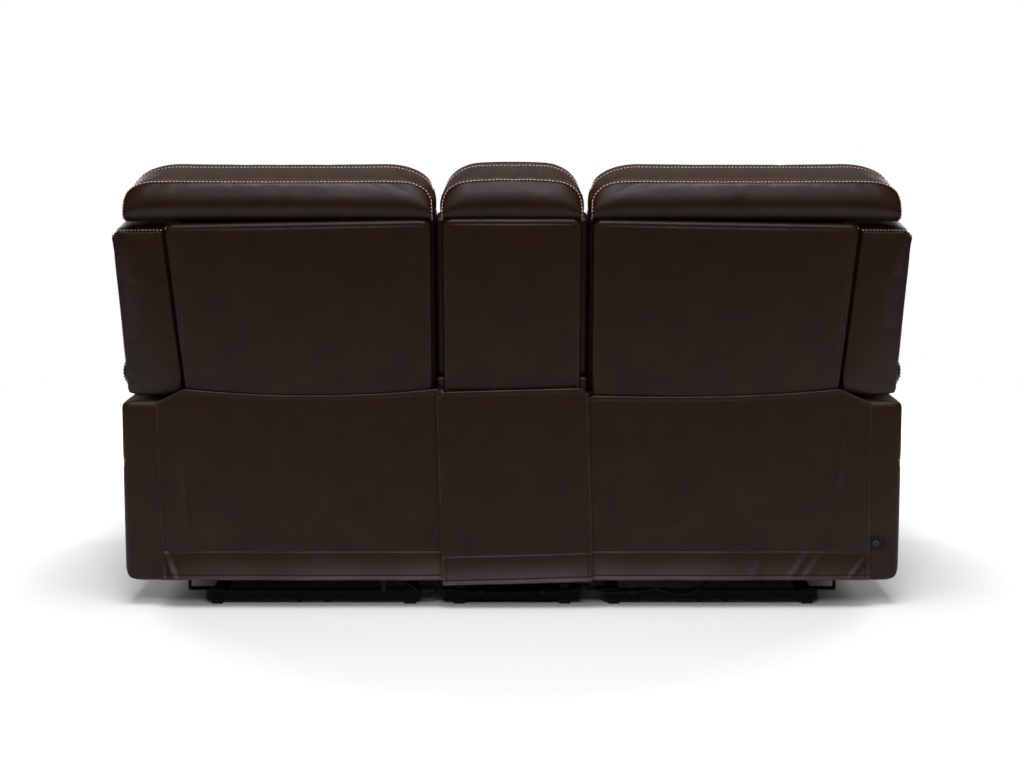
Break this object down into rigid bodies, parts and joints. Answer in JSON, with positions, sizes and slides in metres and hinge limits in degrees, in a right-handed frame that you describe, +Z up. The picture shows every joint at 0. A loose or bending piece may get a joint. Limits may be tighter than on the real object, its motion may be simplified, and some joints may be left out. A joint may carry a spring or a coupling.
{
  "type": "power reclining loveseat",
  "caption": "Brown leather console loveseat on a black steel base, with reclining backs, gliding seats, scissor footrests and a lidded console.",
  "frame": {"origin": "on the floor under the middle of the loveseat's box", "axes": "+X to the sitter's left, +Y to the rear, +Z up; the seats face -Y"},
  "size_m": [1.944, 0.9795, 1.0653],
  "materials": {
    "leather_brown": "soft semi-matt bonded leather",
    "black_steel": "satin black powder coat",
    "black_plastic": "moulded, fine texture",
    "jack_black": "moulded",
    "plywood": "sawn, unfinished",
    "zinc_steel": "zinc plated",
    "cup_steel": "brushed",
    "cable_black": "PVC sheath"
  },
  "bodies": {
    "frame": {"base_frame": "black_steel", "tube_end_caps": "black_plastic", "feet": "black_plastic", "seat_tracks": "black_steel", "arm_frames": "plywood", "arm_cover_left": "leather_brown", "arm_cover_right": "leather_brown", "arm_pad_left": "leather_brown", "arm_pad_right": "leather_brown", "rear_rail": "plywood", "skirt_left": "leather_brown", "skirt_center": "leather_brown", "skirt_right": "leather_brown", "back_hinges": "zinc_steel", "console_box": "leather_brown", "cup_liners": "cup_steel", "console_back_frame": "plywood", "console_back_panel": "leather_brown", "console_back_cushion": "leather_brown", "console_headrest": "leather_brown", "lid_hinges": "zinc_steel", "inlet_plate": "black_plastic", "inlet_jack": "jack_black", "control_plates": "black_plastic", "harness": "cable_black", "harness_clips": "black_plastic"},
    "lid": {"console_lid": "leather_brown"},
    "back_left": {"back_frame_left": "black_steel", "back_panel_left": "leather_brown", "back_cushion_left": "leather_brown", "headrest_left": "leather_brown", "wing_left": "leather_brown"},
    "seat_left": {"seat_frame_left": "black_steel", "seat_cushion_left": "leather_brown", "actuator_left": "black_plastic"},
    "drive_left": {"footrest_drive_links_left": "zinc_steel"},
    "cross_left": {"footrest_cross_links_left": "zinc_steel"},
    "front_left": {"footrest_front_links_left": "zinc_steel"},
    "stay_left": {"footrest_stay_links_left": "zinc_steel"},
    "ottoman_left": {"ottoman_board_left": "plywood", "ottoman_pad_left": "leather_brown"},
    "carriage_left": {"actuator_carriage_left": "black_plastic"},
    "rocker_left": {"rocker_left": "black_plastic"},
    "back_right": {"back_frame_right": "black_steel", "back_panel_right": "leather_brown", "back_cushion_right": "leather_brown", "headrest_right": "leather_brown", "wing_right": "leather_brown"},
    "seat_right": {"seat_frame_right": "black_steel", "seat_cushion_right": "leather_brown", "actuator_right": "black_plastic"},
    "drive_right": {"footrest_drive_links_right": "zinc_steel"},
    "cross_right": {"footrest_cross_links_right": "zinc_steel"},
    "front_right": {"footrest_front_links_right": "zinc_steel"},
    "stay_right": {"footrest_stay_links_right": "zinc_steel"},
    "ottoman_right": {"ottoman_board_right": "plywood", "ottoman_pad_right": "leather_brown"},
    "carriage_right": {"actuator_carriage_right": "black_plastic"},
    "rocker_right": {"rocker_right": "black_plastic"}
  },
  "joints": [
    {"name": "lid_hinge", "type": "hinge", "parent": "frame", "child": "lid", "pos_m": [0, 0.226, 0.5673], "axis": [-1, 0, 0], "range_deg": [0, 80]},
    {"name": "recline_left", "type": "hinge", "parent": "frame", "child": "back_left", "pos_m": [0.485, 0.396, 0.505], "axis": [-1, 0, 0], "range_deg": [0, 35], "deforming": ["skirt_left"]},
    {"name": "seat_glide_left", "type": "slide", "parent": "frame", "child": "seat_left", "axis": [0, -1, 0], "range_m": [0, 0.086]},
    {"name": "footrest_left", "type": "hinge", "parent": "seat_left", "child": "drive_left", "pos_m": [0.485, -0.32, 0.108], "axis": [1, 0, 0], "range_deg": [0, 64]},
    {"name": "cross_pivot_left", "type": "hinge", "parent": "drive_left", "child": "cross_left", "pos_m": [0.485, -0.28784, 0.21319], "axis": [1, 0, 0], "range_deg": [-128, 0]},
    {"name": "front_pivot_left", "type": "hinge", "parent": "drive_left", "child": "front_left", "pos_m": [0.485, -0.25568, 0.31839], "axis": [1, 0, 0], "range_deg": [-128, 0]},
    {"name": "stay_pivot_left", "type": "hinge", "parent": "cross_left", "child": "stay_left", "pos_m": [0.485, -0.34775, 0.12094], "axis": [1, 0, 0], "range_deg": [0, 128]},
    {"name": "ottoman_pivot_left", "type": "hinge", "parent": "front_left", "child": "ottoman_left", "pos_m": [0.485, -0.3755, 0.13388], "axis": [1, 0, 0], "range_deg": [-28, 0]},
    {"name": "actuator_drive_left", "type": "slide", "parent": "seat_left", "child": "carriage_left", "axis": [0, -1, 0], "range_m": [0, 0.15]},
    {"name": "rocker_press_left", "type": "hinge", "parent": "frame", "child": "rocker_left", "pos_m": [0.7875, -0.25, 0.545], "axis": [0, 0, 1], "range_deg": [-6, 6], "stiffness_Nm_per_rad": 0.3},
    {"name": "recline_right", "type": "hinge", "parent": "frame", "child": "back_right", "pos_m": [-0.485, 0.396, 0.505], "axis": [-1, 0, 0], "range_deg": [0, 35], "deforming": ["skirt_right"]},
    {"name": "seat_glide_right", "type": "slide", "parent": "frame", "child": "seat_right", "axis": [0, -1, 0], "range_m": [0, 0.086]},
    {"name": "footrest_right", "type": "hinge", "parent": "seat_right", "child": "drive_right", "pos_m": [-0.485, -0.32, 0.108], "axis": [1, 0, 0], "range_deg": [0, 64]},
    {"name": "cross_pivot_right", "type": "hinge", "parent": "drive_right", "child": "cross_right", "pos_m": [-0.485, -0.28784, 0.21319], "axis": [1, 0, 0], "range_deg": [-128, 0]},
    {"name": "front_pivot_right", "type": "hinge", "parent": "drive_right", "child": "front_right", "pos_m": [-0.485, -0.25568, 0.31839], "axis": [1, 0, 0], "range_deg": [-128, 0]},
    {"name": "stay_pivot_right", "type": "hinge", "parent": "cross_right", "child": "stay_right", "pos_m": [-0.485, -0.34775, 0.12094], "axis": [1, 0, 0], "range_deg": [0, 128]},
    {"name": "ottoman_pivot_right", "type": "hinge", "parent": "front_right", "child": "ottoman_right", "pos_m": [-0.485, -0.3755, 0.13388], "axis": [1, 0, 0], "range_deg": [-28, 0]},
    {"name": "actuator_drive_right", "type": "slide", "parent": "seat_right", "child": "carriage_right", "axis": [0, -1, 0], "range_m": [0, 0.15]},
    {"name": "rocker_press_right", "type": "hinge", "parent": "frame", "child": "rocker_right", "pos_m": [-0.7875, -0.25, 0.545], "axis": [0, 0, 1], "range_deg": [-6, 6], "stiffness_Nm_per_rad": 0.3}
  ],
  "couplings": [
    {"joint": "seat_glide_left", "follows": "recline_left", "m_per_rad": 0.14078},
    {"joint": "cross_pivot_left", "follows": "footrest_left", "ratio": -2},
    {"joint": "front_pivot_left", "follows": "footrest_left", "ratio": -2},
    {"joint": "stay_pivot_left", "follows": "footrest_left", "ratio": 2},
    {"joint": "ottoman_pivot_left", "follows": "footrest_left", "ratio": -0.4375},
    {"joint": "actuator_drive_left", "follows": "footrest_left", "m_per_rad": 0.13428},
    {"joint": "seat_glide_right", "follows": "recline_right", "m_per_rad": 0.14078},
    {"joint": "cross_pivot_right", "follows": "footrest_right", "ratio": -2},
    {"joint": "front_pivot_right", "follows": "footrest_right", "ratio": -2},
    {"joint": "stay_pivot_right", "follows": "footrest_right", "ratio": 2},
    {"joint": "ottoman_pivot_right", "follows": "footrest_right", "ratio": -0.4375},
    {"joint": "actuator_drive_right", "follows": "footrest_right", "m_per_rad": 0.13428}
  ]
}
